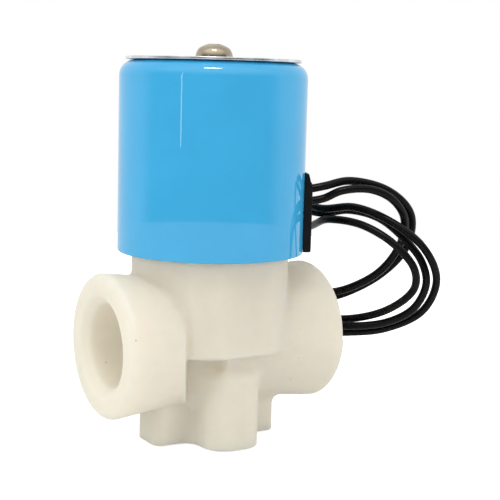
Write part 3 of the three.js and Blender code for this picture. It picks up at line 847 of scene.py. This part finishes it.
make_strainer()


def make_spring():
    """A copy of the CAD return spring, on a mesh of its own."""
    spring = link("return_spring", frame["nodes"]["plunger_spring"].data.copy(), stainless)
    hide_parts("plunger_spring")
    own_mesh(spring)


make_spring()


# ---- Leads ------------------------------------------------------------------------------------
def round_curve(name, radius, bevel_resolution):
    """An empty curve with a round section, a radius in millimetres, and capped ends."""
    curve = bpy.data.curves.new(name, "CURVE")
    curve.dimensions = "3D"
    curve.bevel_depth = radius * MM
    curve.bevel_resolution = bevel_resolution
    curve.use_fill_caps = True
    return curve


def add_line(curve, line):
    """Adds one spline through points in millimetres."""
    spline = curve.splines.new("POLY")
    spline.points.add(len(line) - 1)
    for point, place in zip(spline.points, line):
        point.co = (*(place * MM), 1)
    return spline


def wire(name, line):
    """An insulated lead along a line of points."""
    curve = round_curve(name, LEAD_RADIUS, bevel_resolution=6)
    add_line(curve, line).use_smooth = True
    piece = link(name, curve, pvc)
    return piece


def stripped_end(name, line):
    """Tinned strands, one in the middle and six twisted round it, going on level from a lead's end."""
    along = line[-1] - line[-2]
    along.z = 0
    along.normalize()
    side = along.cross(Vector((0, 0, 1)))
    strand = BUNDLE_RADIUS / 3
    curve = round_curve(name, strand, bevel_resolution=3)
    for k in range(STRANDS):
        spread = 0 if k == 0 else 2 * strand
        places = []
        for i in range(STRAND_STEPS + 1):
            t = i / STRAND_STEPS
            angle = k * math.pi / 3 + STRAND_TURNS * 2 * math.pi * t
            out = side * math.cos(angle) + Vector((0, 0, 1)) * math.sin(angle)
            places.append(line[-1] + along * (STRIPPED_LENGTH * t - STRAND_OVERLAP) + out * spread)
        add_line(curve, places)
    piece = link(name, curve, tinned)
    return piece


def make_leads():
    for number, route in ((1, LEAD_ROUTE_1), (2, LEAD_ROUTE_2)):
        height = LEAD_HEIGHTS[number - 1]
        root = (LEAD_START * math.cos(LEAD_ANGLE), LEAD_START * math.sin(LEAD_ANGLE), height)
        line = catmull_rom([root] + route)
        lead = wire(f"flying_lead_{number}", line)
        end = stripped_end(f"stripped_end_{number}", line)
        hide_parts(f"lead_wire_{number}")
        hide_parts(f"lead_end_{number}")


make_leads()

# ---- Floor, light and view, in metres ---------------------------------------------------------
CAMERA_SIDE = math.radians(CAMERA_AZIMUTH - 90)
FLOOR_RADIUS = 0.32
FLOOR_DROP = 0.0002
FLOOR_GLOW = 0.6
LIGHT_CENTRE_HEIGHT = 0.04
ROOM_BRIGHT = 0.95
ROOM_FRONT = 0.58
MIRROR_FRONT = 0.18
MIRROR_ABOVE = 1.5


def area_light(name, turn, elevation, distance, width, height, power, mirrored=False):
    """A rectangular light, turn degrees to the right of the camera, seen in glossy surfaces or not."""
    data = bpy.data.lights.new(name, "AREA")
    data.shape = "RECTANGLE"
    data.size = width
    data.size_y = height
    data.energy = power
    light = bpy.data.objects.new(name, data)
    bpy.context.scene.collection.objects.link(light)
    around, rise = CAMERA_SIDE + math.radians(turn), math.radians(elevation)
    place = Vector((math.cos(around) * math.cos(rise), math.sin(around) * math.cos(rise),
                    math.sin(rise))) * distance
    light.location = place + Vector((0, 0, LIGHT_CENTRE_HEIGHT))
    light.visible_glossy = mirrored
    light.rotation_euler = place.to_track_quat("Z", "Y").to_euler()


def make_floor():
    """A white disc whose glow only the camera sees, so that it lights nothing."""
    bpy.ops.mesh.primitive_circle_add(vertices=96, radius=FLOOR_RADIUS, fill_type="NGON",
                                      location=(0, 0, -FLOOR_DROP))
    floor = bpy.context.object
    floor.name = "floor"
    white = bpy.data.materials.new("floor_white")
    white.use_nodes = True
    shader = white.node_tree.nodes["Principled BSDF"]
    shader.inputs["Base Color"].default_value = (0.85, 0.85, 0.85, 1)
    shader.inputs["Roughness"].default_value = 0.9
    shader.inputs["Specular IOR Level"].default_value = 0.1
    shader.inputs["Emission Color"].default_value = (1, 1, 1, 1)
    path = white.node_tree.nodes.new("ShaderNodeLightPath")
    glow = white.node_tree.nodes.new("ShaderNodeMapRange")
    glow.inputs["To Max"].default_value = FLOOR_GLOW
    white.node_tree.links.new(path.outputs["Is Camera Ray"], glow.inputs["Value"])
    white.node_tree.links.new(glow.outputs["Result"], shader.inputs["Emission Strength"])
    floor.data.materials.append(white)


def make_world():
    """White to the camera. For light, brighter behind and beside than in front. Glossy surfaces
    see the front as a dark room under a bright ceiling."""
    world = bpy.data.worlds.new("studio")
    bpy.context.scene.world = world
    world.use_nodes = True
    nodes, links = world.node_tree.nodes, world.node_tree.links
    background = nodes["Background"]
    background.inputs["Color"].default_value = (1, 1, 1, 1)
    direction = nodes.new("ShaderNodeTexCoord")
    path = nodes.new("ShaderNodeLightPath")

    def along(axis, low, high, at_low, at_high):
        """A strength that goes smoothly from at_low to at_high along a direction."""
        share = nodes.new("ShaderNodeVectorMath")
        share.operation = "DOT_PRODUCT"
        share.inputs[1].default_value = axis
        links.new(direction.outputs["Generated"], share.inputs[0])
        ramp = nodes.new("ShaderNodeMapRange")
        ramp.interpolation_type = "SMOOTHSTEP"
        for socket, value in zip(("From Min", "From Max", "To Min", "To Max"),
                                 (low, high, at_low, at_high)):
            ramp.inputs[socket].default_value = value
        links.new(share.outputs["Value"], ramp.inputs["Value"])
        return ramp.outputs["Result"]

    def choose(share, otherwise, chosen):
        """otherwise where share is 0, chosen where it is 1. Each is a number or a socket."""
        mix = nodes.new("ShaderNodeMix")
        links.new(share, mix.inputs["Factor"])
        for socket, value in (("A", otherwise), ("B", chosen)):
            if isinstance(value, float):
                mix.inputs[socket].default_value = value
            else:
                links.new(value, mix.inputs[socket])
        return mix.outputs["Result"]

    toward_camera = (math.cos(CAMERA_SIDE), math.sin(CAMERA_SIDE), 0)
    room = along(toward_camera, 0.2, 0.75, ROOM_BRIGHT, ROOM_FRONT)
    ceiling = along((0, 0, 1), 0.2, 0.75, MIRROR_FRONT, MIRROR_ABOVE)
    in_front = along(toward_camera, -0.1, 0.35, 0.0, 1.0)
    mirrored = choose(in_front, ROOM_BRIGHT, ceiling)
    strength = choose(path.outputs["Is Glossy Ray"], room, mirrored)
    links.new(choose(path.outputs["Is Camera Ray"], strength, 1.0), background.inputs["Strength"])


make_floor()
make_world()
area_light("key", turn=-58, elevation=20, distance=0.9, width=0.45, height=0.5, power=2.3)
area_light("fill", turn=60, elevation=15, distance=0.9, width=0.3, height=0.6, power=1.6)
area_light("streak", turn=-36, elevation=10, distance=1.0, width=0.02, height=0.4, power=0.15,
           mirrored=True)
area_light("overhead", turn=0, elevation=62, distance=0.8, width=0.22, height=0.08, power=1.6,
           mirrored=True)
bpy.context.scene.view_settings.view_transform = "Standard"
